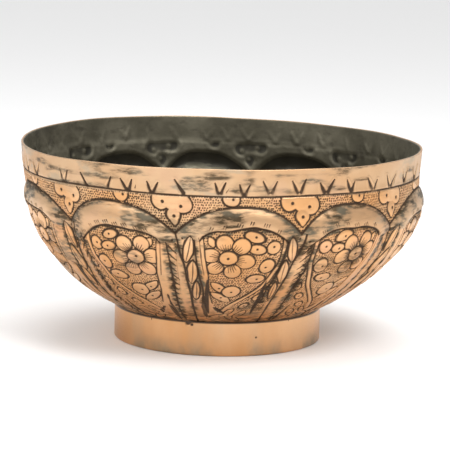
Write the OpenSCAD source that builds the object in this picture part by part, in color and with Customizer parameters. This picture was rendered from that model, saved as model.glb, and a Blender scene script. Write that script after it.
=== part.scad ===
/* [Bowl] */
// Outside diameter of the rim
rim_d = 200; // [160:1:240]
// Height of the rim above the table
bowl_h = 98.2; // [82:0.1:118]
// Thickness of the raised copper sheet
sheet_t = 1.1; // [0.7:0.1:1.5]
// Thickness of the tin wiped over the inside
tin_t = 0.2; // [0.1:0.05:0.3]
// Height of the plain collar, from the swell of the wall up to the rim
collar_h = 18.8; // [15:0.1:23]
// How far the collar leans out between the swell and the rim
collar_flare = 1.5; // [0.5:0.1:3]
// Radius of the wall's swell in section, as a share of its height above the foot ring
belly_round = 0.82; // [0.7:0.01:0.95]
// Distance from the axis to the centre of the arc that the wall's underside follows
base_off = 3.4; // [0:0.1:8]
// Distance of the chased line below the rim
line_drop = 12.4; // [9:0.1:14]
// Depth of the chased line, which shows as a ridge inside
line_depth = 0.4; // [0.2:0.1:0.6]
// Width of the chased line
line_w = 1.4; // [1:0.1:2]

/* [Floor] */
// How far the floor hangs below the top of the foot ring
floor_drop = 3.2; // [2:0.1:6]
// Radius of the bend between the floor and the wall
floor_round = 14; // [8:1:18]

/* [Lobes] */
// Number of raised lobes round the wall
lobe_count = 10; // [8:1:12]
// How far the middle of a lobe stands out from the wall
lobe_rise = 3; // [1.5:0.1:4]
// Distance of the widest part of the lobes below the rim
lobe_drop = 30.8; // [26:0.1:37]
// Height of the arch that closes a lobe at the top
lobe_arch = 13; // [10:0.1:15]
// Gap between the foot ring and the tips of the lobes
lobe_gap = 5; // [2:0.5:12]
// Angle from the front to the middle of the nearest lobe
lobe_turn = 4.7; // [0:0.1:36]

/* [Foot] */
// Outside diameter of the foot ring
foot_d = 103.6; // [86:0.1:125]
// Height of the foot ring's outside face
foot_h = 17; // [14:0.1:21]
// Thickness of the foot ring's strip
foot_t = 1.4; // [1:0.1:2]
// Leg of the solder fillet inside the foot ring
solder_leg = 2.6; // [1.5:0.1:4]
// Width of the brazed seam that closes the foot ring
seam_w = 0.6; // [0.4:0.1:1.2]

/* [Hidden] */
$fn = 96;
front = -90;                 // direction of -Y, where the front of the bowl is
back = 90;                   // direction of +Y, where the foot ring's seam is
over = 5;                    // how far a cutting shape runs past what it cuts

rim_r = rim_d / 2;
foot_r = foot_d / 2;
foot_in_r = foot_r - foot_t;
floor_z = foot_h - floor_drop;
line_z = bowl_h - line_drop;
lobe_z = bowl_h - lobe_drop;

// The wall's section is two arcs and the collar's line; points are [from the axis, height].
swell = [rim_r - collar_flare, bowl_h - collar_h];
belly_r = belly_round * (swell.y - foot_h);
belly_c = swell - [belly_r, 0];
base_c = [base_off, tangent_height(base_off, belly_c, belly_r, [foot_r, foot_h])];
base_r = norm([foot_r, foot_h] - base_c);
bend_z = floor_z + floor_round;
bend_c = [base_c.x + sqrt(pow(base_r - floor_round, 2) - pow(bend_z - base_c.y, 2)), bend_z];
bend_end = direction(bend_c - base_c);
base_end = direction(belly_c - base_c);

// How many steps each stretch of the section and each lobe are drawn with.
bend_steps = 2;
base_steps = 6;
belly_steps = 7;
lobe_steps = 10;

// Stations up the section: [point, direction that the sheet faces there].
stations = concat(
    arc(bend_c, floor_round, -90, bend_end, bend_steps),
    tail(arc(base_c, base_r, bend_end, base_end, base_steps)),
    tail(arc(belly_c, belly_r, base_end, 0, belly_steps)),
    [for (z = [line_z - line_w / 2, line_z, line_z + line_w / 2, bowl_h]) [[collar_r(z), z], [1, 0]]]
);
rings = len(stations);
steps = lobe_count * lobe_steps;
tip_z = wall_z(foot_r + lobe_gap);

// Height of the centre of the circle that lies off from the axis, passes through p, and
// touches the circle of radius small round c from outside it.
function tangent_height(off, c, small, p) =
    let (
        across = [off, 0],
        reach = (p - across) * (p - across),
        grow = (c.y - p.y) / small,
        start = (reach - (c - across) * (c - across) + small * small) / (2 * small),
        lead = grow * grow - 1,
        half = start * grow + p.y
    ) (sqrt(half * half - lead * (start * start - reach)) - half) / lead;

function direction(v) = atan2(v.y, v.x);

function arc(c, r, from, to, n) =
    [for (i = [0:n]) let (a = from + (to - from) * i / n, d = [cos(a), sin(a)]) [c + r * d, d]];

function tail(list) = [for (i = [1:len(list) - 1]) list[i]];

// Height of the wall's underside at distance r from the axis.
function wall_z(r) = base_c.y - sqrt(base_r * base_r - pow(r - base_c.x, 2));

// Radius of the collar at height z.
function collar_r(z) = swell.x + collar_flare * (z - swell.y) / collar_h;

// How far the sheet stands out at height z, at a share across of the way from the middle
// of a lobe (0) to the valley beside it (1). The arch that closes a lobe is a parabola.
function lobe(across, z) =
    let (
        arch = max(1 - across * across, 0.001),
        up = (z - lobe_z) / lobe_arch,
        down = (lobe_z - z) / (lobe_z - tip_z),
        swelling = z > lobe_z ? arch - up * up / arch : down < 1 ? arch * (1 - down * down) : 0
    ) lobe_rise * max(0, swelling);

function line_dent(z) = z == line_z ? line_depth : 0;

// Points of one face of the sheet, ring by ring, sunk by depth from the outside face.
function skin(depth) = [
    for (s = stations, i = [0:steps - 1])
        let (
            turn = front + lobe_turn + 360 * i / steps,
            across = abs(2 * ((i / lobe_steps + 0.5) % 1) - 1),
            out = lobe(across, s[0].y) - line_dent(s[0].y) - depth,
            p = s[0] + out * s[1]
        ) [p.x * cos(turn), p.x * sin(turn), p.y]
];

// Everything between two depths from the outside face: the sheet, or what coats it.
module layer(outer, inner) {
    function at(side, ring, i) = (side * rings + ring) * steps + i % steps;
    walls = [
        for (ring = [0:rings - 2], i = [0:steps - 1])
            each [
                [at(0, ring, i), at(0, ring + 1, i), at(0, ring + 1, i + 1)],
                [at(0, ring, i), at(0, ring + 1, i + 1), at(0, ring, i + 1)],
                [at(1, ring, i), at(1, ring + 1, i + 1), at(1, ring + 1, i)],
                [at(1, ring, i), at(1, ring, i + 1), at(1, ring + 1, i + 1)]
            ]
    ];
    top = rings - 1;
    edge = [
        for (i = [0:steps - 1])
            [at(0, top, i), at(1, top, i), at(1, top, i + 1), at(0, top, i + 1)]
    ];
    floors = [[for (i = [0:steps - 1]) at(0, 0, i)], [for (i = [steps - 1:-1:0]) at(1, 0, i)]];
    polyhedron(concat(skin(outer), skin(inner)), concat(walls, edge, floors));
}

module bowl() {
    color("#c8895a") layer(0, sheet_t);
}

module tin_lining() {
    color("#6b675c") layer(sheet_t, sheet_t + tin_t);
}

// The space above the plain wall's underside, which the foot ring stops at.
module above_wall() {
    rotate_extrude() polygon(concat([[0, floor_z]], [for (s = stations) s[0]], [[0, bowl_h]]));
}

module seam_gap() {
    rotate(back) translate([0, -seam_w / 2, -over])
        cube([foot_r + over, seam_w, foot_h + 2 * over]);
}

module foot_strip() {
    difference() {
        cylinder(h = foot_h + over, r = foot_r);
        translate([0, 0, -over]) cylinder(h = foot_h + 3 * over, r = foot_in_r);
        above_wall();
    }
}

module foot_ring() {
    color("#cf9163") difference() {
        foot_strip();
        seam_gap();
    }
}

module foot_braze() {
    color("#b9a05a") intersection() {
        foot_strip();
        seam_gap();
    }
}

module foot_solder() {
    low = wall_z(foot_in_r) - solder_leg;
    color("#77736b") difference() {
        rotate_extrude() polygon([
            [foot_in_r, low], [foot_in_r, foot_h],
            [foot_in_r - 2 * solder_leg, foot_h], [foot_in_r - solder_leg, wall_z(foot_in_r) - solder_leg / 2]
        ]);
        above_wall();
    }
}

bowl();
tin_lining();
foot_ring();
foot_solder();
foot_braze();
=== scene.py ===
"""A footed copper bowl, raised from sheet, pushed out into lobes and chased, and tinned inside."""

import math

import bpy
import numpy as np
from mathutils import Matrix, Vector


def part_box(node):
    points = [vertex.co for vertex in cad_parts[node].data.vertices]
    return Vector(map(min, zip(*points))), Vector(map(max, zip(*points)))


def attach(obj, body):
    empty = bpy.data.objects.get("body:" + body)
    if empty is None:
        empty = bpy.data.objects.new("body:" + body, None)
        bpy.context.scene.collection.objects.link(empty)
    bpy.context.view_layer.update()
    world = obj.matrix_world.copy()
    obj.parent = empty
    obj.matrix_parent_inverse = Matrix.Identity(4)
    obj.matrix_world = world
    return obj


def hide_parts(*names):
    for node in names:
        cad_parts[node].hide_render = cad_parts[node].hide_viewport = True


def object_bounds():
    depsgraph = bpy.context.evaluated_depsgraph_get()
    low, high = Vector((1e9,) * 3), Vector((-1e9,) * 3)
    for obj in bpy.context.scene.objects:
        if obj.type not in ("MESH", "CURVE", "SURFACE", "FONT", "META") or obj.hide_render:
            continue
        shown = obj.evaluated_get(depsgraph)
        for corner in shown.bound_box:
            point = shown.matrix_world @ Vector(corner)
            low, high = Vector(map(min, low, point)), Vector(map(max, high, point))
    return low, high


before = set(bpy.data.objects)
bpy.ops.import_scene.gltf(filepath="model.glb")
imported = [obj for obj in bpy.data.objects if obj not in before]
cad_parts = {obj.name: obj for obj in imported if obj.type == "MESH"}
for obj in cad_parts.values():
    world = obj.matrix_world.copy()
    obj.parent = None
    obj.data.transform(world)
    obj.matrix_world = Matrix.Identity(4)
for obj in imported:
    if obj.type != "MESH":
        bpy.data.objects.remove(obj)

cad_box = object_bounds()

# Lengths are in millimetres and angles in degrees, until a mesh is built in metres.
MM = 0.001


def box_mm(node):
    low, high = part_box(node)
    return np.array(low) / MM, np.array(high) / MM


bowl_low, bowl_high = box_mm("bowl")
ring_low, ring_high = box_mm("foot_ring")

# The section of the wall, as the solids have it.
RIM_R = (bowl_high[0] - bowl_low[0]) / 2
RIM_Z = bowl_high[2]
FLOOR_Z = bowl_low[2]
FOOT_R = (ring_high[0] - ring_low[0]) / 2
FOOT_T = 1.4
FOOT_Z = 17.0
COLLAR_H = 18.8
COLLAR_FLARE = 1.5
BELLY_ROUND = 0.82 * (RIM_Z - COLLAR_H - FOOT_Z)
BASE_OFF = 3.4
FLOOR_ROUND = 14.0
LINE_DROP = 12.4
SHEET = 1.1
TIN = 0.2

# What the solids don't have: a rounded rim, and hidden sides that are drawn coarsely.
RIM_ROUND = 0.3                 # how far the rim's edges are rounded down
RIM_RINGS = 5                   # rings of points across the rim
COPPER_BACK = SHEET - 0.3       # depth of the copper's hidden side, from the outside
TIN_BACK = SHEET - 0.15         # depth of the tin's hidden side, from the outside
HIDDEN_WALL_STEP = 9            # one row in so many is kept on the wall's hidden side
HIDDEN_FLOOR_STEP = 4           # and on the floor's

# The lobes. They were spaced by eye, so some are wider than others; these are the angles that
# they take, from the one nearest the front round to the right.
LOBE_WIDTHS = np.array([36.0, 33.3, 41.2, 41.3, 32.8, 28.0, 30.7, 40.2, 41.7, 34.8])
LOBE_RISE = 2.6
LOBE_Z = RIM_Z - 30.8
LOBE_ARCH = 13.2
LOBE_TURN = 4.7
LOBE_STARTS = LOBE_TURN - LOBE_WIDTHS[0] / 2 + np.cumsum(LOBE_WIDTHS) - LOBE_WIDTHS
FRONT = -90.0

# How finely the wall is drawn.
COLUMNS = 1800
ROW = 0.36
PLAIN_ROW = 1.4


# ---------------------------------------------------------------- small helpers

def fall(x, full, none):
    """1 where x is at full, 0 where it is at none, and smooth between them."""
    t = np.clip((x - none) / (full - none), 0.0, 1.0)
    return t * t * (3.0 - 2.0 * t)


def curve_through(points, per_span=10):
    """Points along a smooth curve through the given ones."""
    p = np.array(points, float)
    if len(p) == 2:
        return p
    p = np.vstack([2 * p[0] - p[1], p, 2 * p[-1] - p[-2]])
    out = []
    for a, b, c, d in zip(p, p[1:], p[2:], p[3:]):
        t = np.linspace(0.0, 1.0, per_span, endpoint=False)[:, None]
        out.append(b + 0.5 * t * (c - a + t * (2 * a - 5 * b + 4 * c - d + t * (3 * (b - c) + d - a))))
    return np.vstack(out + [p[-2][None]])


# ---------------------------------------------------------------- the wall's section

class Section:
    """The outside of the wall, by distance v down from the rim to the middle of the floor."""

    def __init__(self):
        swell = np.array([RIM_R - COLLAR_FLARE, RIM_Z - COLLAR_H])
        self.belly = swell - [BELLY_ROUND, 0.0]
        foot = np.array([FOOT_R, FOOT_Z])
        across = np.array([BASE_OFF, 0.0])
        reach = (foot - across) @ (foot - across)
        grow = (self.belly[1] - FOOT_Z) / BELLY_ROUND
        apart = (self.belly - across) @ (self.belly - across)
        start = (reach - apart + BELLY_ROUND ** 2) / (2 * BELLY_ROUND)
        lead = grow ** 2 - 1
        half = start * grow + FOOT_Z
        self.base = np.array([BASE_OFF, (math.sqrt(half ** 2 - lead * (start ** 2 - reach)) - half) / lead])
        self.base_r = math.dist(foot, self.base)
        bend_z = FLOOR_Z + FLOOR_ROUND
        reach = math.sqrt((self.base_r - FLOOR_ROUND) ** 2 - (bend_z - self.base[1]) ** 2)
        self.bend = np.array([self.base[0] + reach, bend_z])

        def slope(v):
            return -math.atan2(v[1], v[0])

        self.belly_end = slope(self.belly - self.base)
        self.base_end = slope(self.bend - self.base)
        self.collar_v = math.hypot(COLLAR_FLARE, COLLAR_H)
        self.belly_v = self.collar_v + BELLY_ROUND * self.belly_end
        self.base_v = self.belly_v + self.base_r * (self.base_end - self.belly_end)
        self.bend_v = self.base_v + FLOOR_ROUND * (math.pi / 2 - self.base_end)
        self.end_v = self.bend_v + self.bend[0]
        self.foot_v = self.belly_v + self.base_r * (slope(foot - self.base) - self.belly_end)

    def at(self, v):
        """Radius, height and the two parts of the outward direction, at each v."""
        v = np.asarray(v, float)
        down = np.clip(v / self.collar_v, 0.0, 1.0)
        r = RIM_R - COLLAR_FLARE * down
        z = RIM_Z - COLLAR_H * np.minimum(v / self.collar_v, 1.0)
        angle = np.zeros_like(v)
        arcs = (
            (self.collar_v, self.belly_v, self.belly, BELLY_ROUND, 0.0),
            (self.belly_v, self.base_v, self.base, self.base_r, self.belly_end),
            (self.base_v, self.bend_v, self.bend, FLOOR_ROUND, self.base_end),
        )
        for start, end, centre, size, turned in arcs:
            on = (v > start) & (v <= end)
            a = turned + (v - start) / size
            angle = np.where(on, a, angle)
            r = np.where(on, centre[0] + size * np.cos(a), r)
            z = np.where(on, centre[1] - size * np.sin(a), z)
        floor = v > self.bend_v
        angle = np.where(floor, math.pi / 2, angle)
        r = np.where(floor, self.end_v - v, r)
        z = np.where(floor, FLOOR_Z, z)
        return r, z, np.cos(angle), -np.sin(angle)


section = Section()
wall_end = section.foot_v + 1.5
wall_v = np.arange(0.0, wall_end, ROW)
floor_v = np.arange(wall_end, section.end_v - 1.0, PLAIN_ROW)
all_v = np.concatenate([wall_v, floor_v])
wall_rows = len(wall_v)
radius, height, out_r, out_z = section.at(all_v)
theta = np.arange(COLUMNS) * (360.0 / COLUMNS)      # anticlockwise from the front, seen from above
theta_rad = np.radians(theta)


def noise(seed, cell, squeeze=1.0):
    """Smooth noise from -1 to 1 over the wall and floor, with bumps about cell wide."""
    rng = np.random.default_rng(seed)
    across = max(4, round(2 * math.pi * RIM_R / cell))
    down = int(section.end_v / (cell * squeeze)) + 3
    lattice = rng.uniform(-1.0, 1.0, (down, across))
    y = all_v / (cell * squeeze)
    x = theta / 360.0 * across
    j, i = y.astype(int), x.astype(int)
    fy, fx = y - j, x - i
    fy = (fy * fy * (3 - 2 * fy))[:, None]
    fx = (fx * fx * (3 - 2 * fx))[None, :]
    i2 = (i + 1) % across
    low = lattice[j][:, i] * (1 - fx) + lattice[j][:, i2] * fx
    high = lattice[j + 1][:, i] * (1 - fx) + lattice[j + 1][:, i2] * fx
    return low * (1 - fy) + high * fy


def soften(field, size):
    """The field blurred over about size millimetres. Rows are padded, and columns go round."""
    pad = int(3 * size / ROW) + 1
    wide = np.pad(field, ((pad, pad), (0, 0)), mode="edge")
    fv = np.fft.fftfreq(wide.shape[0], ROW)[:, None]
    fu = np.fft.rfftfreq(wide.shape[1], 2 * math.pi * RIM_R / COLUMNS)[None, :]
    keep = np.exp(-2.0 * (math.pi * size) ** 2 * (fv ** 2 + fu ** 2))
    return np.fft.irfft2(np.fft.rfft2(wide) * keep, s=wide.shape)[pad:-pad]


# ---------------------------------------------------------------- chasing

shape = (len(all_v), COLUMNS)
relief = np.zeros(shape)        # how far the chasing moves the surface, outward
dirt_and_shade = np.zeros(shape)          # dark patina left in lines and pits, and painted shade in hollows, 0 to 1
tarnish_and_shade = np.zeros(shape)         # dark tarnish, painted shade and painted dark reflections, in large soft patches, 0 to 1
matting = np.zeros(shape)       # where the ground is punched all over, 0 to 1
bare = np.zeros(shape)          # smooth metal that tarnishes in patches, and is painted evenly darker as a dark reflection, 0 to 1
bare[:wall_rows] = (wall_v < LINE_DROP + 1.0)[:, None]


# The hand's wobble, and how hard each blow was.
wobble = noise(41, 4.5)
force = noise(42, 3.2)


class Window:
    """A stretch of the wall round one direction. x runs right, or left when side is -1, and
    v runs down from the rim, both in millimetres along the metal."""

    def __init__(self, centre, half, side=1, top=0.0, bottom=None, slide=0.0, drop=0.0, stretch=1.0):
        bottom = section.foot_v if bottom is None else bottom
        self.rows = slice(int(top / ROW), min(wall_rows, int(bottom / ROW) + 1))
        middle = round(centre / 360.0 * COLUMNS)
        reach = round(half / 360.0 * COLUMNS)
        self.columns = np.arange(middle - reach, middle + reach + 1)
        turn = np.radians(self.columns * 360.0 / COLUMNS - centre)
        self.across = side * np.degrees(turn)[None, :]
        flat = side * turn[None, :] * radius[self.rows, None]
        self.to_valley = math.radians(half) * radius[self.rows, None] - flat
        self.x = flat / stretch - slide
        self.v = np.broadcast_to(all_v[self.rows, None] - drop, self.x.shape)
        self.columns %= COLUMNS
        self.pick = (self.rows, self.columns)
        self.relief = relief[self.pick]
        self.dirt_and_shade = dirt_and_shade[self.pick]
        self.matting = matting[self.pick]
        self.bare = bare[self.pick]
        self.tarnish_and_shade = tarnish_and_shade[self.pick]
        self.wobble = wobble[self.pick]
        self.force = force[self.pick]
        self.sunk = 0.0

    def done(self):
        relief[self.pick] = self.relief
        dirt_and_shade[self.pick] = self.dirt_and_shade
        matting[self.pick] = self.matting
        bare[self.pick] = self.bare
        tarnish_and_shade[self.pick] = self.tarnish_and_shade

    def distance(self, points):
        """Distance to a smooth curve, and how far along it the nearest place is, 0 to 1."""
        path = curve_through(points)
        step = np.linalg.norm(np.diff(path, axis=0), axis=1)
        run = np.concatenate([[0.0], np.cumsum(step)])
        best = np.full(self.x.shape, 1e9)
        share = np.zeros(self.x.shape)
        for a, b, start, length in zip(path, path[1:], run, step):
            dx, dv = (b - a) / length
            px, pv = self.x - a[0], self.v - a[1]
            t = np.clip(px * dx + pv * dv, 0.0, length)
            d = np.hypot(px - t * dx, pv - t * dv)
            nearer = d < best
            best = np.where(nearer, d, best)
            share = np.where(nearer, (start + t) / run[-1], share)
        return best, share

    def cut(self, groove, depth, dark):
        self.relief -= depth * groove
        self.dirt_and_shade = np.maximum(self.dirt_and_shade, dark * groove)

    def line(self, points, width=1.0, depth=0.35, dark=0.95, taper=0.0):
        """A chased line, which gets narrower towards its ends by taper."""
        d, share = self.distance(points)
        half = 0.55 * width * (1.0 - taper * (2.0 * share - 1.0) ** 2) * (1.0 + 0.4 * self.force)
        self.cut(fall(d, 0.25 * half, 1.15 * half + 0.15), depth, dark)

    def stroke(self, start, end, width=1.0, depth=0.3, dark=0.9, burr=0.0):
        """One blow of a chisel, widest where it starts. A burr is pushed up beside it."""
        d, share = self.distance([start, end])
        half = 0.5 * width * (1.0 - 0.75 * share) * (1.0 + 0.3 * self.force)
        self.relief += burr * fall(np.abs(d - 1.3 * half - 0.4), 0.1, 0.7)
        self.cut(fall(d, 0.3 * half, 1.1 * half + 0.12), depth, dark)

    def dot(self, at, size=0.85, depth=0.4, dark=1.0):
        d = np.hypot(self.x - at[0], self.v - at[1])
        self.cut(fall(d, 0.45 * size, 1.15 * size), depth, dark)

    def oval(self, at, half_x, half_v, turn=0.0):
        """Distance to an oval's edge, negative inside."""
        c, s = math.cos(math.radians(turn)), math.sin(math.radians(turn))
        px, pv = self.x - at[0], self.v - at[1]
        q = np.hypot((px * c + pv * s) / half_x, (pv * c - px * s) / half_v)
        return (q - 1.0) * min(half_x, half_v)

    def leaf(self, start, end, half):
        """Distance to the edge of a leaf that is pointed at both ends, negative inside."""
        a, b = np.array(start, float), np.array(end, float)
        length = np.linalg.norm(b - a)
        dx, dv = (b - a) / length
        px, pv = self.x - a[0], self.v - a[1]
        t = (px * dx + pv * dv) / length
        side = np.abs(pv * dx - px * dv)
        edge = side - half * np.clip(4.0 * t * (1.0 - t), 0.0, 1.0) ** 0.75
        past = np.maximum(np.maximum(-t, t - 1.0), 0.0) * length
        return np.hypot(np.maximum(edge, 0.0), past) + np.minimum(edge, 0.0)

    def motif(self, edge, swell=0.16, outline=0.95, keep=None):
        """A shape left standing on the ground, rounded on top, with a line chased round it."""
        edge = edge + 0.35 * self.wobble
        inside = fall(edge, -0.1, 0.25)
        if keep is not None:
            inside = inside * keep
        self.matting *= 1.0 - inside
        self.relief = self.relief * (1.0 - inside) + inside * (swell * fall(-edge, 2.2, -0.2) - self.sunk)
        self.dirt_and_shade *= 1.0 - inside
        self.tarnish_and_shade *= 1.0 - 0.75 * inside
        groove = fall(np.abs(edge - 0.25), 0.15, outline * (0.72 + 0.3 * self.force))
        if keep is not None:
            groove = groove * keep
        self.cut(groove, 0.3, 0.95)


def hatch(win, at, toward, count, length, spread, rng):
    """Fine strokes side by side, from near at, pointing toward a point."""
    a, b = np.array(at, float), np.array(toward, float)
    ahead = (b - a) / np.linalg.norm(b - a)
    beside = np.array([-ahead[1], ahead[0]])
    for k in range(count):
        shift = (k - (count - 1) / 2) * spread
        reach = length * (1.0 - 0.12 * abs(k - (count - 1) / 2)) * rng.uniform(0.7, 1.15)
        start = a + beside * shift * 0.75
        win.stroke(start, start + ahead * reach + beside * shift * 0.35, 0.8, 0.26, 1.0)


def flower(win, at, size, turn, rng, keep):
    """A round middle with a dot, and six round petals with strokes at their base."""
    petals = 6
    for k in range(petals):
        a = math.radians(turn + 360.0 / petals * k + rng.uniform(-5, 5))
        away = size * rng.uniform(1.98, 2.1)
        spot = (at[0] + away * math.cos(a), at[1] + away * math.sin(a))
        wide = size * rng.uniform(0.92, 1.04)
        win.motif(win.oval(spot, wide, size * rng.uniform(0.88, 0.98), math.degrees(a)), 0.14, 0.95, keep)
        base = (at[0] + 1.14 * size * math.cos(a), at[1] + 1.14 * size * math.sin(a))
        # Painted shade at the base of each petal.
        shade = fall(np.hypot(win.x - base[0], win.v - base[1]), 0.1 * size, 0.75 * size)
        win.tarnish_and_shade = np.maximum(win.tarnish_and_shade, 0.45 * shade)
        hatch(win, base, spot, rng.integers(4, 6), 0.95 * size, 0.27 * size, rng)
    win.motif(win.oval(at, 0.98 * size, 0.93 * size), 0.16, 1.0)
    win.dot((at[0] + rng.uniform(-0.9, 1.6), at[1] + rng.uniform(-0.6, 0.6)), 0.85, 0.45)


def dotted_oval(win, at, half_x, half_v, turn, rng, keep=None):
    win.motif(win.oval(at, half_x, half_v, turn), 0.12, 0.95, keep)
    win.dot((at[0] + rng.uniform(-0.8, 0.8), at[1] + rng.uniform(-0.5, 0.5)), 0.72, 0.4, 0.95)


def between(x, v, points, side):
    """1 on the side of a downward curve that side names (1 is right), 0 on the other."""
    path = curve_through(points)
    edge = np.interp(v, path[:, 1], path[:, 0])
    return fall(side * (x - edge), 0.25, -0.25)


def chase_lobe(centre, width, layout, rng):
    """The smooth border of a lobe, and the panel of flowers and leaves that it frames."""
    side, slide, drop, shade_and_soot = layout
    win = Window(centre, width / 2, side, 14.0, slide=slide, drop=drop, stretch=(width / 36.0) ** 0.8)
    j = rng.uniform(-0.4, 0.4, 12)

    # The panel: an arch at the top, a nearly straight edge and a long curved edge.
    arch = [(-18.6, 33.8), (-16.5, 31.0), (-11.1, 28.6), (-4.0, 27.9 + j[0]), (2.2, 27.4 + j[1]),
            (8.1, 27.0 + j[1]), (15.2, 28.4), (20.5, 31.7), (26.7, 37.1)]
    straight = [(-17.1, 31.2), (-15.9 + j[2], 38.9), (-14.9 + j[2], 44.6), (-12.8, 53.0), (-11.3, 64.4),
                (-8.2, 76.0), (-4.0, 86.0)]
    bow = [(20.8, 31.8), (20.8, 36.7), (19.7 + j[3], 44.6), (16.7 + j[3], 51.8), (12.8, 60.5),
           (5.7, 69.5), (-0.4, 77.0), (-4.6, 86.0)]
    arch_path = curve_through(arch)
    arch_v = np.interp(win.x, arch_path[:, 0], arch_path[:, 1])
    under_arch = fall(win.v - arch_v, 0.3, -0.3)
    panel = under_arch * between(win.x, win.v, straight, 1) * between(win.x, win.v, bow, -1)
    panel *= fall(win.v, 84.0, 85.5)
    win.matting = np.maximum(win.matting * (1 - under_arch), panel)
    win.sunk = 0.45 * under_arch * fall(win.v, 56.0, 80.0)
    win.relief -= win.sunk

    # The strip between the curved edge and the valley, matted too.
    outside = [(a + 2.6, b) for a, b in bow]
    strip = between(win.x, win.v, outside, 1) * fall(win.to_valley, 4.4, 3.8)
    strip *= under_arch * fall(win.v, 84.0, 87.0)
    win.matting = np.maximum(win.matting, strip)

    # What stands on the ground.
    dotted_oval(win, (7.3 + j[4], 31.2), 4.7, 2.4, 14, rng, panel)
    dotted_oval(win, (16.6, 36.9 + j[5]), 3.2, 3.4, 20, rng, panel)
    dotted_oval(win, (9.2 + j[6], 37.3), 3.7, 2.3, 10, rng, panel)
    dotted_oval(win, (14.3, 47.6 + j[7]), 3.4, 4.3, 18, rng, panel)
    dotted_oval(win, (9.2 + j[8], 55.6), 4.4, 2.7, -10, rng, panel)
    win.motif(win.leaf((-14.2, 31.6), (-11.6, 36.4), 1.5), 0.1, 0.9, panel)
    win.motif(win.leaf((-10.8, 58.6), (-2.4, 66.6), 2.3), 0.1, 0.9, panel)
    win.dot((-6.6, 62.8), 0.7)
    win.motif(win.leaf((-9.8, 66.6), (0.0, 74.2), 2.2), 0.1, 0.9, panel)
    win.dot((-4.8, 70.4), 0.7)
    dotted_oval(win, (-0.6 + j[9], 65.4), 4.3, 4.4, 0, rng, panel)
    flower(win, (-4.5 + j[10], 41.9 + j[11]), 4.15, -114 + rng.uniform(-9, 9), rng, panel)
    for spot, wide, turn in (((18.6, 62.4), 1.7, 30), ((12.9, 70.4), 1.9, 34), ((23.2, 50.2), 1.5, 20),
                             ((7.2, 78.2), 1.7, 38)):
        win.motif(win.oval(spot, wide, 2.8, turn), 0.1, 0.9, strip)
        win.dot(spot, 0.7)

    # Painted shade on the ground under the arch, over the flower.
    shade = panel * fall(win.v - arch_v, 0.6, 3.4)
    win.tarnish_and_shade = np.maximum(win.tarnish_and_shade, 0.95 * shade * win.matting)

    # The edges of the panel, cut last.
    win.line(arch, 1.2, 0.42, 1.0, 0.3)
    win.line(straight[:-1], 0.9, 0.3, 0.85, 0.3)
    win.line([(a - 1.9, b + 0.6) for a, b in straight[:4]], 0.7, 0.22, 0.7, 0.5)
    win.line(bow, 1.0, 0.38, 0.97, 0.2)
    win.line([(a + 2.3, b + 0.5) for a, b in bow[1:-1]], 0.9, 0.32, 0.95, 0.4)

    # Small ticks along the smooth border, in twos and threes.
    for a in np.arange(-13.0, 24.0, rng.uniform(5.0, 6.5)):
        v = np.interp(a, arch_path[:, 0], arch_path[:, 1]) - rng.uniform(2.2, 3.0)
        for k in range(rng.integers(2, 4)):
            win.stroke((a + 1.1 * k, v + 0.25 * k), (a + 1.1 * k - 0.8, v + 1.5 + 0.25 * k), 0.7, 0.25, 0.95)

    # The border itself is a soft roll between the two arches, with tarnish and painted dark reflections in
    # streaky patches and towards its ends.
    gap = arch_gap[win.pick]
    band = np.maximum(gap, 0.0) + np.maximum(arch_v - win.v, 0.0) + 0.01
    share = np.clip(gap / band, 0.0, 1.0)
    border = (1 - under_arch) * fall(gap, 0.3, -0.1)
    win.relief += 0.4 * border * (4.0 * share * (1.0 - share)) ** 0.8 * fall(band, 9.0, 3.0)
    win.bare = np.maximum(win.bare, border)
    stray = (rng.uniform(-16.0, 16.0), rng.uniform(4.0, 8.0), rng.uniform(0.0, 0.9), rng.uniform(0.4, 0.9))
    patches = [(shade_and_soot, 13.0, 0.25, 1.0), (shade_and_soot + 2.0, 9.0, 0.6, 0.9), stray]
    for middle, reach, level, dark in patches:
        patch = fall(np.abs(win.x - middle), 0.2 * reach, reach) * fall(np.abs(share - level), 0.18, 0.5)
        win.tarnish_and_shade = np.maximum(win.tarnish_and_shade, dark * border * patch)
    ends = fall(np.abs(win.across), 15.5, 8.5)
    win.tarnish_and_shade = np.maximum(win.tarnish_and_shade, 0.9 * border * ends)
    # Painted shade along the roll's top edge, and on the ground just above the arch line, where the lobe
    # steps up.
    win.tarnish_and_shade = np.maximum(win.tarnish_and_shade, 0.8 * border * fall(gap, 1.0, 3.4))
    win.tarnish_and_shade = np.maximum(win.tarnish_and_shade, 0.55 * fall(-gap, 0.0, 2.2) * (gap < 0.3))

    # Blades and leaves between the panel and the foot.
    for start, end, half in (((-13.4, 68.0), (-9.2, 96.0), 1.0), ((-7.6, 80.0), (0.6, 90.6), 1.2)):
        win.cut(fall(win.leaf(start, end, half) + 0.5 * win.wobble, -0.4, 0.4), 0.4, 0.85)
    for start, end, half in (((-8.0, 92.6), (0.5, 89.5), 1.9), ((6.0, 97.0), (-1.0, 91.5), 2.0),
                             ((8.6, 84.0), (3.0, 93.0), 1.8), ((2.6, 82.0), (-1.6, 88.6), 1.5)):
        win.motif(win.leaf(start, end, half), 0.12, 0.85)
        win.dot(((start[0] + end[0]) / 2, (start[1] + end[1]) / 2), 0.6, 0.3, 0.8)
    win.done()


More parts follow.
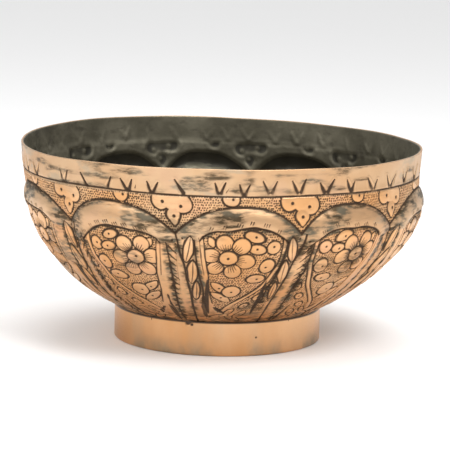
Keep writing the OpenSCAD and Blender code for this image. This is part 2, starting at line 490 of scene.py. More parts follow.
def chase_valley(centre, side, slide, rng):
    """The stem, herringbone and leaves that fill the hollow between two lobes."""
    win = Window(centre, 12.5, side, 29.0, section.foot_v + 1.0, slide=slide)
    j = rng.uniform(-0.5, 0.5, 8)
    stem = [(0.2, 31.0), (2.1 + j[0], 42.1), (3.6 + j[0], 48.2), (4.2, 59.4), (5.0, 72.7),
            (4.0, 89.0), (2.6, 102.0)]
    left = [(-4.6, 35.6), (-4.2 + j[1], 42.0), (-3.6 + j[1], 49.3), (-2.7, 63.4), (-2.4, 75.0),
            (-2.7, 89.0), (-2.6, 99.0)]
    right = [(9.2, 33.1), (9.9 + j[2], 43.2), (10.6 + j[2], 55.8), (11.2, 65.0), (10.2, 76.0)]
    stem_path = curve_through(stem)
    from_stem = win.x - np.interp(win.v, stem_path[:, 1], stem_path[:, 0])
    # Painted shade down the valley and beside its lines, with some patina there.
    valley_shade_and_patina = fall(np.abs(from_stem), 0.6, 5.0) * (0.6 + 0.4 * fall(win.v, 38.0, 52.0))
    for path, dark, reach in ((left, 0.9, 4.6), (right, 0.95, 3.2)):
        valley_shade_and_patina = np.maximum(valley_shade_and_patina, dark * fall(win.distance(path)[0], 0.5, reach))
    win.tarnish_and_shade = np.maximum(win.tarnish_and_shade, valley_shade_and_patina)
    for v in np.arange(37.5, 97.0, 4.3):
        v += rng.uniform(-0.5, 0.5)
        reach = rng.uniform(0.75, 1.15)
        win.stroke((-3.6, v), (-3.6 + 3.6 * reach, v + 4.6 * reach), 1.2, 0.34, 0.97)
    for start, end, half in (((7.6, 31.6), (4.6, 46.0), 2.2), ((8.2, 44.6), (6.2, 60.4), 2.2),
                             ((8.8, 58.8), (7.0, 73.4), 1.7)):
        win.motif(win.leaf(start, end, half), 0.12, 1.0)
        win.line([start, ((start[0] + end[0]) / 2 + 0.3, (start[1] + end[1]) / 2), end], 0.6, 0.2, 0.8, 0.6)
    blade = win.leaf((13.6 + j[3], 57.0), (10.4 + j[3], 89.0), 1.0)
    win.cut(fall(blade, -0.3, 0.5), 0.4, 0.95)
    blade = win.leaf((-7.4 + j[4], 80.0), (-5.0 + j[4], 100.0), 0.9)
    win.cut(fall(blade, -0.3, 0.5), 0.35, 0.9)
    win.line(stem, 1.4, 0.5, 1.0, 0.2)
    win.line(left, 1.1, 0.35, 0.97, 0.4)
    win.line(right, 1.2, 0.4, 0.97, 0.5)
    win.dot((-1.6, 34.4), 0.75)
    win.dot((3.4, 33.0), 0.7)
    win.done()


def under_line(win):
    """1 below the line under the collar, 0 above it."""
    return fall(win.v, LINE_DROP + 1.2, LINE_DROP + 0.4)


def chase_trefoil(centre, rng):
    """Three round lobes hanging from the line, over the meeting of two arches."""
    win = Window(centre, 8.0, 1, 12.0, 33.0)
    j = rng.uniform(-0.4, 0.4, 6)
    left = win.oval((-5.4 + j[0], 15.3), 4.5, 4.3)
    right = win.oval((4.8 + j[1], 16.9 + j[2]), 4.4, 4.5)
    low = np.minimum(win.oval((0.5, 22.0 + j[3]), 3.3, 3.5), win.leaf((0.5, 20.0), (0.5 + j[4], 27.2), 2.2))
    body = win.oval((0.0, 14.6), 5.4, 5.2)
    edge = np.minimum(np.minimum(left, right), np.minimum(low, body))
    win.motif(edge, 0.2, 1.1, under_line(win))
    for spot in ((-4.3, 15.9), (4.4, 17.8), (0.8, 22.4)):
        win.dot((spot[0] + j[5], spot[1]), 1.0, 0.5)
    win.done()


def chase_pendant(centre, rng):
    """A half-round hanging from the line over the top of an arch."""
    win = Window(centre, 3.4, 1, 11.0, 20.5)
    round_edge = win.oval((rng.uniform(-0.5, 0.5), 13.6), 3.9, 3.8)
    win.motif(round_edge, 0.14, 1.0, under_line(win))
    win.dot((rng.uniform(0.0, 1.6), 14.0), 0.8, 0.45)
    win.done()


def chase_collar(rng):
    """V marks round the collar, at uneven distances, some of them worn away."""
    at = 0.0
    while at < 357.0:
        win = Window(at, 3.0, 1, 2.0, 14.0)
        low = LINE_DROP - rng.uniform(0.6, 1.6)
        worn = rng.uniform(0.6, 1.0)
        for side in (-1, 1):
            if rng.uniform() < 0.12:
                continue
            tall = rng.uniform(4.2, 6.2)
            foot = side * rng.uniform(0.4, 1.0)
            top = foot + side * tall * math.tan(math.radians(rng.uniform(16, 36)))
            win.stroke((foot, low), (top, low - tall), 2.6, 0.6 * worn, 1.0 * worn, 0.14)
        if rng.uniform() < 0.25:
            tip = (rng.uniform(2.5, 4.0), low - rng.uniform(0.0, 3.0))
            win.stroke(tip, (tip[0] + rng.uniform(-1.5, 1.5), tip[1] - 1.6), 0.8, 0.2, 0.8 * worn)
        win.done()
        at += rng.uniform(6.5, 9.5)


# Which way round each lobe's panel is drawn, how far it sits to that side and down, and
# where along the lobe's border the darkest tarnish and painted dark reflection is.
PANELS = ((1, 0.0, 0.0, -5.0), (-1, -1.0, 1.0, 13.0), (1, 0.8, 0.4, 4.0), (-1, -1.5, 0.2, -12.0),
          (1, -0.6, 0.8, 9.0), (1, 1.2, -0.3, -6.0), (-1, 0.4, 0.6, 15.0), (1, -1.0, 0.0, -14.0),
          (-1, 0.9, 0.5, 2.0), (-1, -3.6, 2.2, -15.0))
ARCH_SHAPE = 2.5                # how square the arches' shoulders are
ARCH_LEAN = 0.13                # how far their tops lie to one side, as a share of half a lobe

# The arches, each with its top a little to one side.
lobe_centres = LOBE_STARTS + LOBE_WIDTHS / 2
turned = (theta - LOBE_STARTS[0]) % 360.0 + LOBE_STARTS[0]
nearest = np.searchsorted(LOBE_STARTS, turned, side="right") - 1
aside = (turned - lobe_centres[nearest]) / (LOBE_WIDTHS[nearest] / 2)
top_at = ARCH_LEAN * np.array([panel[0] for panel in PANELS])[nearest]
across = np.where(aside > top_at, (aside - top_at) / (1.0 - top_at), (top_at - aside) / (1.0 + top_at))
up = (height - LOBE_Z) / LOBE_ARCH
down = (LOBE_Z - height) / (LOBE_Z - section.at(section.foot_v - 6.0)[1])
arch_up = np.maximum(1.0 - across ** ARCH_SHAPE, 1e-3)[None, :]        # height of the arch over its foot
dome = arch_up - up[:, None] ** 2 / arch_up
tail = arch_up * np.clip(1.0 - down[:, None] ** 2, 0.0, 1.0)
swelling = np.clip(np.where(up[:, None] > 0.0, dome, tail), 0.0, None)
lobe = LOBE_RISE * swelling ** 1.1
above = up[:, None] > arch_up
half_lobe = np.radians(LOBE_WIDTHS[nearest] / 2) * RIM_R
arch_slope = ARCH_SHAPE * across ** (ARCH_SHAPE - 1.0) * LOBE_ARCH / half_lobe
arch_gap = (arch_up - up[:, None]) * LOBE_ARCH / np.sqrt(1.0 + arch_slope ** 2)[None, :]

# The ground under the line is matted down to the arches.
matting[:] = above * fall(all_v, LINE_DROP + 0.8, LINE_DROP + 0.2)[:, None]

dice = np.random.default_rng(31)
for centre, width, panel in zip(lobe_centres, LOBE_WIDTHS, PANELS):
    chase_lobe(centre, width, panel, dice)
for start, centre, panel in zip(LOBE_STARTS, lobe_centres, PANELS):
    chase_valley(start, panel[0], 0.0 if panel[0] > 0 else -2.5, dice)
    chase_trefoil(start, dice)
    chase_pendant(centre - panel[0] * dice.uniform(1.5, 3.0), dice)
chase_collar(dice)

# The line under the collar, and the one along the outside of the arches.
wander = 0.35 * np.sin(2 * theta_rad + 0.6) + 0.2 * np.sin(5 * theta_rad + 2.0)
off_line = np.abs(all_v[:, None] - LINE_DROP - wander[None, :])
groove = fall(off_line, 0.12, 0.72)
relief -= 0.42 * groove
dirt_and_shade = np.maximum(dirt_and_shade, 0.97 * groove)
groove = fall(np.abs(arch_gap), 0.15, 0.8) * (up > -0.03)[:, None]
relief -= 0.4 * groove
dirt_and_shade = np.maximum(dirt_and_shade, 0.95 * groove)


def punched_ground(pitch=1.2, seed=7):
    """Pits from a small round punch, set side by side in uneven rows. 1 is the bottom of a pit."""
    rng = np.random.default_rng(seed)
    rows = int(section.foot_v / pitch) + 4
    count = np.maximum(8, np.round(2 * math.pi * section.at(np.arange(rows) * pitch)[0] / pitch)).astype(int)
    jitter = rng.uniform(-0.2, 0.2, (rows, count.max(), 2))
    shift = 0.5 * np.arange(rows) + rng.uniform(-0.1, 0.1, rows)
    near = np.full((wall_rows, COLUMNS), 9.0)
    cell = np.round(wall_v / pitch).astype(int)
    turn = (theta / 360.0)[None, :]
    for dj in (-1, 0, 1):
        j = np.clip(cell + dj, 0, rows - 1)
        n = count[j][:, None]
        place = turn * n + shift[j][:, None]
        first = np.floor(place).astype(int)
        for di in (-1, 0, 1):
            i = (first + di) % n
            wide = 2 * math.pi * radius[:wall_rows, None] / n
            dx = (place - first - di - 0.5 - jitter[j[:, None], i, 0]) * wide
            dv = wall_v[:, None] - (j[:, None] + jitter[j[:, None], i, 1]) * pitch
            near = np.minimum(near, np.hypot(dx, dv))
    return fall(near, 0.26, 0.58)


pits = np.zeros(shape)
pits[:wall_rows] = punched_ground()
relief -= matting * (0.1 + 0.34 * pits)
# Darker towards the foot: painted shade of the underside, with patina.
tarnish_and_shade = np.maximum(tarnish_and_shade, 0.75 * fall(all_v, section.foot_v - 1.0, section.foot_v - 24.0)[:, None])
tarnish_and_shade *= np.clip(0.8 + 0.4 * noise(21, 7.0, 0.3) + 0.35 * noise(22, 3.0, 0.3), 0.0, 1.2)
streaks = fall(0.65 * noise(23, 15.0, 0.2) + 0.35 * noise(24, 7.0, 0.3), 0.5, -0.05)
# Soft dark patches on the lower wall, painted shade of the underside there.
low_side = fall(all_v, 30.0, 12.0)[:, None]
gloom = fall(0.7 * noise(25, 24.0) + 0.3 * noise(26, 8.0, 0.5), 0.5, 0.05)
on_collar = fall(all_v, LINE_DROP + 1.0, LINE_DROP - 1.0)[:, None]
tarnish_and_shade = np.maximum(tarnish_and_shade, (0.62 - 0.4 * on_collar) * streaks)
tarnish_and_shade = np.maximum(tarnish_and_shade, 0.5 * gloom * low_side)
uneven = 0.75 + 0.25 * noise(11, 9.0)
dirt_and_shade = np.maximum(dirt_and_shade, matting * (0.1 + 0.9 * pits) * uneven)
wear = 0.82 + 0.18 * noise(12, 14.0)
dirt_and_shade *= wear

# Every hollow is darkened too, with painted shade and the patina there, and hammering leaves the smooth
# metal uneven.
hollow = np.zeros(shape)
hollow[:wall_rows] = soften(relief[:wall_rows], 1.3) - relief[:wall_rows]
dirt_and_shade = np.clip(dirt_and_shade + 1.0 * np.clip(hollow - 0.03, 0.0, 0.4), 0.0, 1.0)
hammer = 0.07 * noise(3, 7.0) + 0.05 * noise(4, 13.0) + 0.012 * noise(5, 2.2)

# Nothing made by hand is quite round.
ring = theta_rad[None, :]
sway = 0.3 * np.cos(3 * ring + 2.1) + 0.16 * np.cos(7 * ring + 1.0)
sway = sway * fall(all_v, 0.0, 70.0)[:, None]
lift = 0.24 * np.cos(theta_rad + 0.54) + 0.53 * np.cos(2 * theta_rad - 1.07)
lift += 0.31 * np.cos(3 * theta_rad + 0.73)
lift += 0.1 * np.cos(11 * theta_rad + 1.0)
lift = lift * fall(all_v, 0.0, 30.0)[:, None]
lean = np.interp(all_v, [0.0, 10.0, 33.0, 56.0, 80.0, section.foot_v], [0.0, 0.0, 2.0, 1.1, -0.3, 0.0])


def place(depth, extra, pick=slice(None), columns=slice(None)):
    """Points of the wall, sunk by depth, with extra added outward, in metres."""
    out = lobe[pick, columns] + extra[pick, columns] + sway[pick, columns] - depth
    r = radius[pick, None] + out * out_r[pick, None]
    z = height[pick, None] + out * out_z[pick, None] + lift[pick, columns]
    a = theta_rad[columns] + math.radians(FRONT)
    return np.stack([r * np.cos(a) + lean[pick, None], r * np.sin(a), z], axis=2) * MM


# ---------------------------------------------------------------- meshes

def build(name, rings, loop=False, values=None):
    """A closed piece from rings of points. The rings close on themselves, or end in a point."""
    rows, columns = rings.shape[:2]
    points = rings.reshape(-1, 3)
    if not loop:
        points = np.vstack([points, rings[0].mean(0), rings[-1].mean(0)])
    index = np.arange(rows * columns).reshape(rows, columns)
    right = np.roll(index, -1, axis=1)
    spans = rows if loop else rows - 1
    below = np.roll(index, -1, axis=0)
    below_right = np.roll(right, -1, axis=0)
    quads = np.stack([index, below, below_right, right], axis=2)[:spans].reshape(-1, 4)
    u = np.arange(columns) / columns
    u = np.broadcast_to(u, (rows, columns))
    top = np.broadcast_to((np.arange(rows) / spans)[:, None], (rows, columns))
    low_v = top + 1.0 / spans
    u2 = u + 1.0 / columns
    uv = np.stack([u, top, u, low_v, u2, low_v, u2, top], axis=2)[:spans].reshape(-1, 2)
    loops = quads.reshape(-1)
    starts = np.arange(len(quads)) * 4
    if not loop:
        first, last = len(points) - 2, len(points) - 1
        cap = np.stack([np.full(columns, first), index[0], right[0]], axis=1)
        end = np.stack([np.full(columns, last), right[-1], index[-1]], axis=1)
        tri_uv = np.zeros((2 * columns * 3, 2))
        starts = np.concatenate([starts, len(loops) + np.arange(2 * columns) * 3])
        loops = np.concatenate([loops, cap.reshape(-1), end.reshape(-1)])
        tri_uv[:, 0] = np.tile(np.stack([u[0], u[0], u2[0]], axis=1).reshape(-1), 2)
        tri_uv[3 * columns:, 1] = 1.0
        uv = np.vstack([uv, tri_uv])
    mesh = bpy.data.meshes.new(name)
    mesh.vertices.add(len(points))
    mesh.vertices.foreach_set("co", points.astype(np.float32).reshape(-1))
    mesh.loops.add(len(loops))
    mesh.loops.foreach_set("vertex_index", loops.astype(np.int32))
    mesh.polygons.add(len(starts))
    mesh.polygons.foreach_set("loop_start", starts.astype(np.int32))
    mesh.update(calc_edges=True)
    layer = mesh.uv_layers.new(name="OFBake")
    layer.data.foreach_set("uv", uv.astype(np.float32).reshape(-1))
    mesh.polygons.foreach_set("use_smooth", np.ones(len(starts), bool))
    for key, grid in (values or {}).items():
        attribute = mesh.attributes.new(key, "FLOAT", "POINT")
        flat = grid.reshape(-1)
        if not loop:
            flat = np.concatenate([flat, [grid[0].mean(), grid[-1].mean()]])
        attribute.data.foreach_set("value", flat.astype(np.float32))
    if mesh.validate():
        raise RuntimeError(f"{name} had bad faces")
    piece = bpy.data.objects.new(name, mesh)
    bpy.context.collection.objects.link(piece)
    return piece


def finish_piece(piece, node, material):
    piece.data.materials.append(material)
    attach(piece, "root")
    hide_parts(node)


# ---------------------------------------------------------------- materials

class Nodes:
    """A material's nodes, made and joined by short calls."""

    def __init__(self, name, metallic, roughness):
        self.material = bpy.data.materials.new(name)
        self.material.use_nodes = True
        self.tree = self.material.node_tree
        self.shader = self.tree.nodes["Principled BSDF"]
        self.shader.inputs["Metallic"].default_value = metallic
        self.shader.inputs["Roughness"].default_value = roughness
        self.coords = self.tree.nodes.new("ShaderNodeTexCoord").outputs["Object"]

    def join(self, source, socket):
        if hasattr(source, "is_output"):
            self.tree.links.new(source, socket)
        else:
            socket.default_value = source

    def value(self, name):
        node = self.tree.nodes.new("ShaderNodeAttribute")
        node.attribute_name = name
        return node.outputs["Fac"]

    def noise(self, scale, detail=3.0, rough=0.55, stretch=(1, 1, 1), offset=0.0):
        mapping = self.tree.nodes.new("ShaderNodeMapping")
        mapping.inputs["Scale"].default_value = stretch
        mapping.inputs["Location"].default_value = (offset, offset * 0.7, -offset)
        self.tree.links.new(self.coords, mapping.inputs["Vector"])
        node = self.tree.nodes.new("ShaderNodeTexNoise")
        node.inputs["Scale"].default_value = scale
        node.inputs["Detail"].default_value = detail
        node.inputs["Roughness"].default_value = rough
        self.tree.links.new(mapping.outputs[0], node.inputs["Vector"])
        return node.outputs["Fac"]

    def ramp(self, source, low, high, start=0.0, end=1.0):
        node = self.tree.nodes.new("ShaderNodeMapRange")
        node.interpolation_type = "SMOOTHSTEP"
        for key, amount in zip(("From Min", "From Max", "To Min", "To Max"), (low, high, start, end)):
            node.inputs[key].default_value = amount
        self.tree.links.new(source, node.inputs["Value"])
        return node.outputs["Result"]

    def math(self, kind, a, b):
        node = self.tree.nodes.new("ShaderNodeMath")
        node.operation = kind
        self.join(a, node.inputs[0])
        self.join(b, node.inputs[1])
        return node.outputs[0]

    def mix(self, share, a, b):
        node = self.tree.nodes.new("ShaderNodeMix")
        node.data_type = "RGBA"
        self.join(share, node.inputs["Factor"])
        self.join(a if hasattr(a, "is_output") else (*a, 1.0), node.inputs[6])
        self.join(b if hasattr(b, "is_output") else (*b, 1.0), node.inputs[7])
        return node.outputs[2]

    def bump(self, source, depth, strength=1.0):
        node = self.tree.nodes.new("ShaderNodeBump")
        node.inputs["Strength"].default_value = strength
        node.inputs["Distance"].default_value = depth
        self.tree.links.new(source, node.inputs["Height"])
        self.tree.links.new(node.outputs[0], self.shader.inputs["Normal"])

    def set(self, name, source):
        self.tree.links.new(source, self.shader.inputs[name])


PEACH = (0.74, 0.455, 0.245)
ORANGE = (0.65, 0.345, 0.15)
BLUSH = (0.69, 0.385, 0.215)
TARNISH = (0.26, 0.22, 0.155)
HAZE_AND_DARK_REFLECTION = (0.40, 0.34, 0.25)
SOOT_AND_SHADE_BROWN = (0.060, 0.044, 0.026)
SOOT_AND_SHADE_GREY = (0.135, 0.118, 0.084)
BROWN = (0.050, 0.026, 0.011)


def bowl_copper():
    m = Nodes("chased_copper", 1.0, 0.4)
    dark, smooth, shade_and_soot = m.value("dirt_and_shade"), m.value("bare"), m.value("tarnish_and_shade")
    tone = m.mix(m.ramp(m.noise(26, 4), 0.36, 0.64), PEACH, ORANGE)
    tone = m.mix(m.ramp(m.noise(61, 3, offset=3.1), 0.5, 0.72, 0.0, 0.7), tone, BLUSH)
    haze_and_dark_reflection = m.ramp(m.noise(46, 5, 0.6, (1, 1, 2.2), 5.7), 0.48, 0.68, 0.0, 0.7)
    haze_and_dark_reflection = m.math("MULTIPLY", haze_and_dark_reflection, m.ramp(smooth, 0.0, 1.0, 0.25, 1.0))
    # The smooth collar and border are also painted evenly darker, a painted dark reflection.
    haze_and_dark_reflection = m.math("MAXIMUM", haze_and_dark_reflection, m.math("MULTIPLY", smooth, 0.35))
    tone = m.mix(haze_and_dark_reflection, tone, HAZE_AND_DARK_REFLECTION)
    # Tarnish, painted shade and painted dark reflections, broken into streaks and mixed in soot colours.
    streaky = m.ramp(m.noise(170, 4, 0.65, (1, 1, 3.5), 1.3), 0.34, 0.62, 0.45, 1.3)
    shade_and_soot = m.math("MULTIPLY", shade_and_soot, streaky)
    shade_and_soot_colour = m.mix(m.ramp(m.noise(90, 3, 0.5, (1, 1, 2), 8.2), 0.4, 0.6), SOOT_AND_SHADE_BROWN, SOOT_AND_SHADE_GREY)
    tone = m.mix(m.ramp(shade_and_soot, 0.04, 0.95, 0.0, 0.95), tone, shade_and_soot_colour)
    # Dark patina in lines and pits, and painted shade in hollows.
    tone = m.mix(m.ramp(dark, 0.05, 0.9), tone, BROWN)
    m.set("Base Color", tone)
    rough = m.ramp(m.noise(90, 4), 0.3, 0.7, 0.34, 0.48)
    rough = m.math("ADD", rough, m.math("MULTIPLY", shade_and_soot, 0.12))
    rough = m.math("ADD", rough, m.math("MULTIPLY", dark, 0.32))
    m.set("Roughness", rough)
    m.set("Metallic", m.ramp(dark, 0.25, 1.0, 1.0, 0.35))
    m.bump(m.noise(900, 5, 0.7, (1, 1, 1.6)), 0.00008, 0.6)
    return m.material


def foot_copper():
    m = Nodes("foot_copper", 1.0, 0.36)
    cloud = m.ramp(m.noise(30, 4, 0.5, (1, 1, 0.5)), 0.35, 0.65)
    tone = m.mix(cloud, (0.58, 0.305, 0.135), (0.67, 0.40, 0.215))
    grey = m.ramp(m.noise(46, 4, 0.55, (1, 1, 0.6), 2.0), 0.46, 0.66, 0.0, 0.85)
    tone = m.mix(m.math("MULTIPLY", grey, m.value("hem")), tone, TARNISH)
    streaks = m.ramp(m.noise(60, 4, 0.6, (1, 1, 0.25), 6.0), 0.45, 0.8, 0.0, 0.3)
    tone = m.mix(streaks, tone, HAZE_AND_DARK_REFLECTION)
    dark = m.value("dirt_and_shade")
    tone = m.mix(m.ramp(dark, 0.1, 0.9), tone, BROWN)
    m.set("Base Color", tone)
    m.set("Metallic", m.ramp(dark, 0.25, 1.0, 1.0, 0.35))
    m.set("Roughness", m.ramp(m.noise(420, 4, 0.6, (1, 1, 6)), 0.3, 0.7, 0.30, 0.44))
    m.bump(m.noise(520, 4, 0.7, (1, 1, 5)), 0.00003, 0.5)
    return m.material


def wiped_tin():
    m = Nodes("wiped_tin", 0.75, 0.5)
    tone = m.mix(m.ramp(m.noise(38, 5, 0.6), 0.35, 0.66), (0.100, 0.090, 0.062), (0.176, 0.160, 0.115))
    wipes = m.ramp(m.noise(120, 4, 0.6, (1, 1, 2), 4.0), 0.5, 0.75, 0.0, 0.7)
    tone = m.mix(wipes, tone, (0.065, 0.056, 0.040))
    # Painted shade in the lining's hollows.
    tone = m.mix(m.ramp(m.value("dirt_and_shade"), 0.1, 1.0, 0.0, 0.8), tone, (0.022, 0.020, 0.016))
    m.set("Base Color", tone)
    m.set("Roughness", m.ramp(m.noise(160, 4), 0.3, 0.7, 0.40, 0.62))
    m.bump(m.noise(300, 5, 0.65, (1, 1, 2)), 0.00012, 0.5)
    return m.material


def solder_grey():
    m = Nodes("solder_grey", 0.7, 0.5)
    m.set("Base Color", m.mix(m.ramp(m.noise(220, 4), 0.4, 0.65), (0.30, 0.29, 0.27), (0.16, 0.14, 0.12)))
    m.set("Roughness", m.ramp(m.noise(350, 3), 0.3, 0.7, 0.38, 0.66))
    m.bump(m.noise(500, 4, 0.6), 0.0002, 0.6)
    return m.material


def braze_brass():
    m = Nodes("braze_brass", 1.0, 0.4)
    m.set("Base Color", m.mix(m.ramp(m.noise(600, 4), 0.4, 0.65), (0.62, 0.46, 0.20), (0.36, 0.24, 0.11)))
    m.set("Roughness", m.ramp(m.noise(900, 3), 0.3, 0.7, 0.32, 0.55))
    m.bump(m.noise(1500, 3), 0.00005, 0.6)
    return m.material


# ---------------------------------------------------------------- the bowl and its tin

full = relief + hammer
# The copper: its outside from the floor up, over the rim, and down the hidden side.
outside = place(0.0, full)[::-1].copy()
edge = place(0.0, full, slice(0, 1))
fat = np.linspace(0.0, SHEET, RIM_RINGS + 2)[1:-1]
rounded = -RIM_ROUND * (np.abs(2 * fat / SHEET - 1.0) ** 3)
outside[-1, :, 2] -= RIM_ROUND * MM
rim_rings = [place(d, full, slice(0, 1))[0] + [0.0, 0.0, z * MM] for d, z in zip(fat, rounded)]
under = soften(relief, 0.7) * (0.7 + 1.0 * fall(all_v, LINE_DROP + 2.0, LINE_DROP + 0.5))[:, None]
inner_lobe = np.clip(soften(lobe, 2.4) - lobe, -2.0, 0.3)
hidden_wall = np.arange(3, wall_rows, HIDDEN_WALL_STEP)
hidden_floor = np.arange(wall_rows, len(all_v), HIDDEN_FLOOR_STEP)
coarse = np.unique(np.concatenate([hidden_wall, hidden_floor]))
hidden = place(COPPER_BACK, under + inner_lobe, coarse)
copper_rings = np.concatenate([outside, np.array(rim_rings), hidden])
copper_values = {
    "dirt_and_shade": np.concatenate([dirt_and_shade[::-1], np.zeros((len(fat), COLUMNS)), dirt_and_shade[coarse]]),
    "bare": np.concatenate([bare[::-1], np.ones((len(fat), COLUMNS)), bare[coarse]]),
    "tarnish_and_shade": np.concatenate([tarnish_and_shade[::-1], np.zeros((len(fat), COLUMNS)), tarnish_and_shade[coarse]]),
}
bowl = build("bowl_copper", copper_rings, values=copper_values)
finish_piece(bowl, "bowl", bowl_copper())

# The tin: what shows of it from the floor up to the rim, and its hidden side.
every = slice(0, COLUMNS, 2)
fine_rows = np.arange(0, len(all_v), 2)
skin = place(SHEET + TIN, under + inner_lobe + 0.6 * hammer, fine_rows, every)[::-1].copy()
skin[-1, :, 2] -= 0.12 * MM
back_rows = np.concatenate([[0], coarse])
back = place(TIN_BACK, under + inner_lobe, back_rows, every)
back[0, :, 2] -= 0.2 * MM
press = np.clip(under - soften(under, 3.0), -0.5, 0.5)
# Painted shade in the lining's hollows, inside the lobes and in the dents that the chased motifs push into
# it.
tin_hollow_shade = np.clip(0.3 * soften(lobe, 4.0) / LOBE_RISE + 3.0 * np.clip(press, 0, 1), 0.0, 1.0)
tin_values = {"dirt_and_shade": np.concatenate([tin_hollow_shade[fine_rows, every][::-1], tin_hollow_shade[back_rows, every]])}
tin = build("tin_skin", np.concatenate([skin, back]), values=tin_values)
finish_piece(tin, "tin_lining", wiped_tin())


# ---------------------------------------------------------------- the foot

def wall_under(r):
    return section.base[1] - np.sqrt(section.base_r ** 2 - (r - section.base[0]) ** 2)


# The nicks and pits in the foot: angle, height, half width, half height and depth.
FOOT_MARKS = (
    (344.5, FOOT_Z - 0.7, 2.3, 2.2, 0.55),
    (346.6, FOOT_Z - 1.9, 1.1, 1.0, 0.35),
    (22.0, 9.0, 0.75, 0.75, 0.35),
    (322.0, FOOT_Z - 1.2, 0.4, 1.2, 0.15),
    (43.0, FOOT_Z - 1.0, 0.5, 0.8, 0.2),
    (140.0, 6.0, 0.8, 0.6, 0.3),
    (236.0, FOOT_Z - 1.0, 0.9, 1.0, 0.3),
)


def foot_ring(columns=720, outer_rows=44, inner_rows=12):
    """The rolled strip: a plain band with soft edges, worn, nicked and pitted."""
    turn = np.arange(columns) * 2 * math.pi / columns
    inner = FOOT_R - FOOT_T
    soft = 0.35
    band = np.linspace(1.2, FOOT_Z - 0.4, outer_rows)
    outer_z = np.concatenate([[0.0, 0.12, soft], band, [FOOT_Z - 0.05]])
    outer_in = np.concatenate([[soft, 0.1, 0.0], np.zeros(outer_rows), [0.0]])
    top = [(x, wall_under(x) - 0.02) for x in (FOOT_R - 0.5, inner + 0.3)]
    inner_z = np.concatenate([np.linspace(wall_under(inner) - 0.1, 1.0, inner_rows), [soft, 0.0]])
    inner_out = np.concatenate([np.zeros(inner_rows), [0.0, soft]])
    r = np.concatenate([FOOT_R - outer_in, [t[0] for t in top], inner + inner_out])
    z = np.concatenate([outer_z, [t[1] for t in top], inner_z])
    rng = np.random.default_rng(5)
    bend = 0.22 * np.cos(2 * turn + 0.4) + 0.12 * np.cos(3 * turn + 1.0)
    for k in range(5, 30):
        bend += 0.35 / k ** 1.2 * rng.uniform(-1, 1) * np.cos(k * turn + rng.uniform(0, 6.3))
    r = r[:, None] + 0.5 * bend[None, :]
    z = np.repeat(z[:, None], columns, axis=1)
    stain = np.zeros_like(r)
    outer = slice(0, len(outer_z))
    bearing = np.degrees(turn)
    for at, level, wide, tall, deep in FOOT_MARKS:
        x = ((bearing - at + 180.0) % 360.0 - 180.0) * math.radians(FOOT_R)
        hit = fall(np.hypot(x[None, :] / wide, (z[outer] - level) / tall), 0.35, 1.0)
        r[outer] -= deep * hit
        stain[outer] = np.maximum(stain[outer], hit)
    joint = fall(FOOT_Z - z[outer], 0.5, 1.5)
    stain[outer] = np.maximum(stain[outer], 0.95 * joint)
    stain[len(outer_z):] = 0.35
    hem = fall(z, 0.5, 9.0)
    a = turn + math.radians(FRONT)
    rings = np.stack([r * np.cos(a), r * np.sin(a), z], axis=2) * MM
    return rings, {"dirt_and_shade": stain, "hem": hem}


rings, values = foot_ring()
ring_piece = build("foot_ring_strip", rings, loop=True, values=values)
finish_piece(ring_piece, "foot_ring", foot_copper())


def foot_solder(columns=360):
    """The fillet inside the ring, lumpy as soft solder sets."""
    rng = np.random.default_rng(9)
    turn = np.arange(columns) * 2 * math.pi / columns
    inner = FOOT_R - FOOT_T
    lump = np.zeros(columns)
    for k in range(3, 40):
        lump += 0.5 / k ** 0.7 * rng.uniform(-1, 1) * np.cos(k * turn + rng.uniform(0, 6.3))
    leg = 2.2 + 0.6 * lump
    face = np.linspace(0.0, 1.0, 9)
    rings = []
    for t in face:
        dip = 0.9 * leg * (1.0 - t) ** 2
        r = inner - leg * 2.0 * t ** 1.6
        z = wall_under(r) - dip - 0.06
        rings.append((r, z))
    rings.append((inner - leg, wall_under(inner - leg) + 0.1))
    rings.append((np.full(columns, inner + 0.1), np.full(columns, wall_under(inner)) - 0.1))
    a = turn + math.radians(FRONT)
    points = [np.stack([r * np.cos(a), r * np.sin(a), z * np.ones(columns)], axis=1) for r, z in rings]
    return np.array(points)[::-1] * MM


solder = build("foot_solder_fillet", foot_solder(), loop=True)
finish_piece(solder, "foot_solder", solder_grey())


def foot_braze(rows=40):
    """The brazed seam at the back, filed nearly flush with the strip."""
    rng = np.random.default_rng(2)
    inner = FOOT_R - FOOT_T
    z = np.linspace(0.05, FOOT_Z - 0.1, rows)
    half = 0.3 + 0.12 * rng.uniform(-1, 1, rows)
    proud = 0.12 + 0.05 * rng.uniform(-1, 1, rows)
    outer = FOOT_R + proud
    sides = [(-1.5 * half, outer - 0.16), (-0.6 * half, outer),
             (0.6 * half, outer), (1.5 * half, outer - 0.16),
             (half, np.full(rows, inner)), (-half, np.full(rows, inner))]
    points = np.stack([np.stack([x, r, z], axis=1) for x, r in sides], axis=1)
    return points * MM


seam = build("foot_seam", foot_braze())
finish_piece(seam, "foot_braze", braze_brass())


# ---------------------------------------------------------------- floor, light and camera

def plain(name, colour, roughness):
    material = bpy.data.materials.new(name)
    material.use_nodes = True
    shader = material.node_tree.nodes["Principled BSDF"]
    shader.inputs["Base Color"].default_value = (*colour, 1.0)
    shader.inputs["Roughness"].default_value = roughness
    return material


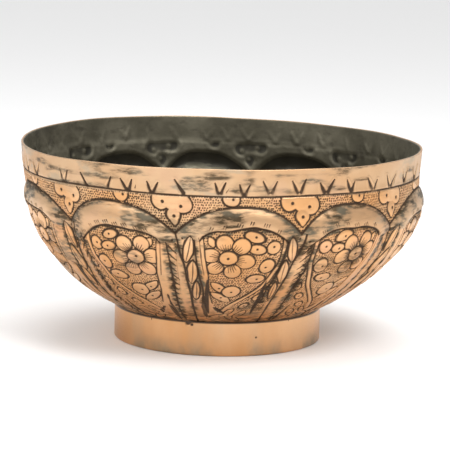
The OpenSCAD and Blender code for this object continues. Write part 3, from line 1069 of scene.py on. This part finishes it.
# From here on lengths are in metres, apart from the lens and its sensor.
FLOOR_HALF = 6.0
FLOOR_GAP = 0.0002
floor_mesh = bpy.data.meshes.new("floor")
corners = [(x * FLOOR_HALF, y * FLOOR_HALF, 0) for x, y in ((-1, -1), (1, -1), (1, 1), (-1, 1))]
floor_mesh.from_pydata(corners, [], [(0, 1, 2, 3)])
floor = bpy.data.objects.new("floor", floor_mesh)
floor.location.z = cad_box[0][2] - FLOOR_GAP
floor_mesh.materials.append(plain("pale_floor", (0.95, 0.95, 0.95), 0.8))
bpy.context.collection.objects.link(floor)

world = bpy.data.worlds.new("studio")
bpy.context.scene.world = world
world.use_nodes = True
world.node_tree.nodes["Background"].inputs["Color"].default_value = (1.0, 1.0, 1.0, 1.0)
world.node_tree.nodes["Background"].inputs["Strength"].default_value = 0.8

middle = (Vector(cad_box[0]) + Vector(cad_box[1])) / 2


def softbox(name, azimuth, elevation, distance, size, power, colour=(1, 1, 1)):
    light = bpy.data.lights.new(name, "AREA")
    light.shape = "RECTANGLE"
    light.size, light.size_y = size
    light.energy = power
    light.color = colour
    lamp = bpy.data.objects.new(name, light)
    a, e = math.radians(azimuth + FRONT), math.radians(elevation)
    away = Vector((math.cos(e) * math.cos(a), math.cos(e) * math.sin(a), math.sin(e)))
    lamp.location = middle + distance * away
    lamp.rotation_euler = (middle - lamp.location).to_track_quat("-Z", "Y").to_euler()
    bpy.context.collection.objects.link(lamp)


softbox("key", 35, 48, 1.0, (0.45, 0.45), 5.5)
softbox("fill", -45, 30, 1.1, (0.5, 0.5), 3.2)
softbox("top", 180, 80, 0.9, (0.7, 0.7), 4.0)

camera_data = bpy.data.cameras.new("camera")
camera = bpy.data.objects.new("camera", camera_data)
bpy.context.collection.objects.link(camera)
bpy.context.scene.camera = camera
VIEW_DISTANCE = 1.4
VIEW_ELEVATION = 9.5
VIEW_ROLL = 1.4
AIM = Vector((0.0029, 0.0, 0.0562))
camera_data.sensor_width = 36.0
camera_data.lens = 223.2
elevation = math.radians(VIEW_ELEVATION)
back = Vector((0.0, -math.cos(elevation), math.sin(elevation)))
camera.location = AIM + VIEW_DISTANCE * back
look = (-back).to_track_quat("-Z", "Y").to_matrix().to_4x4()
roll = Matrix.Rotation(math.radians(VIEW_ROLL), 4, "Z")
camera.matrix_world = Matrix.Translation(camera.location) @ look @ roll

bpy.context.scene.view_settings.view_transform = "Standard"
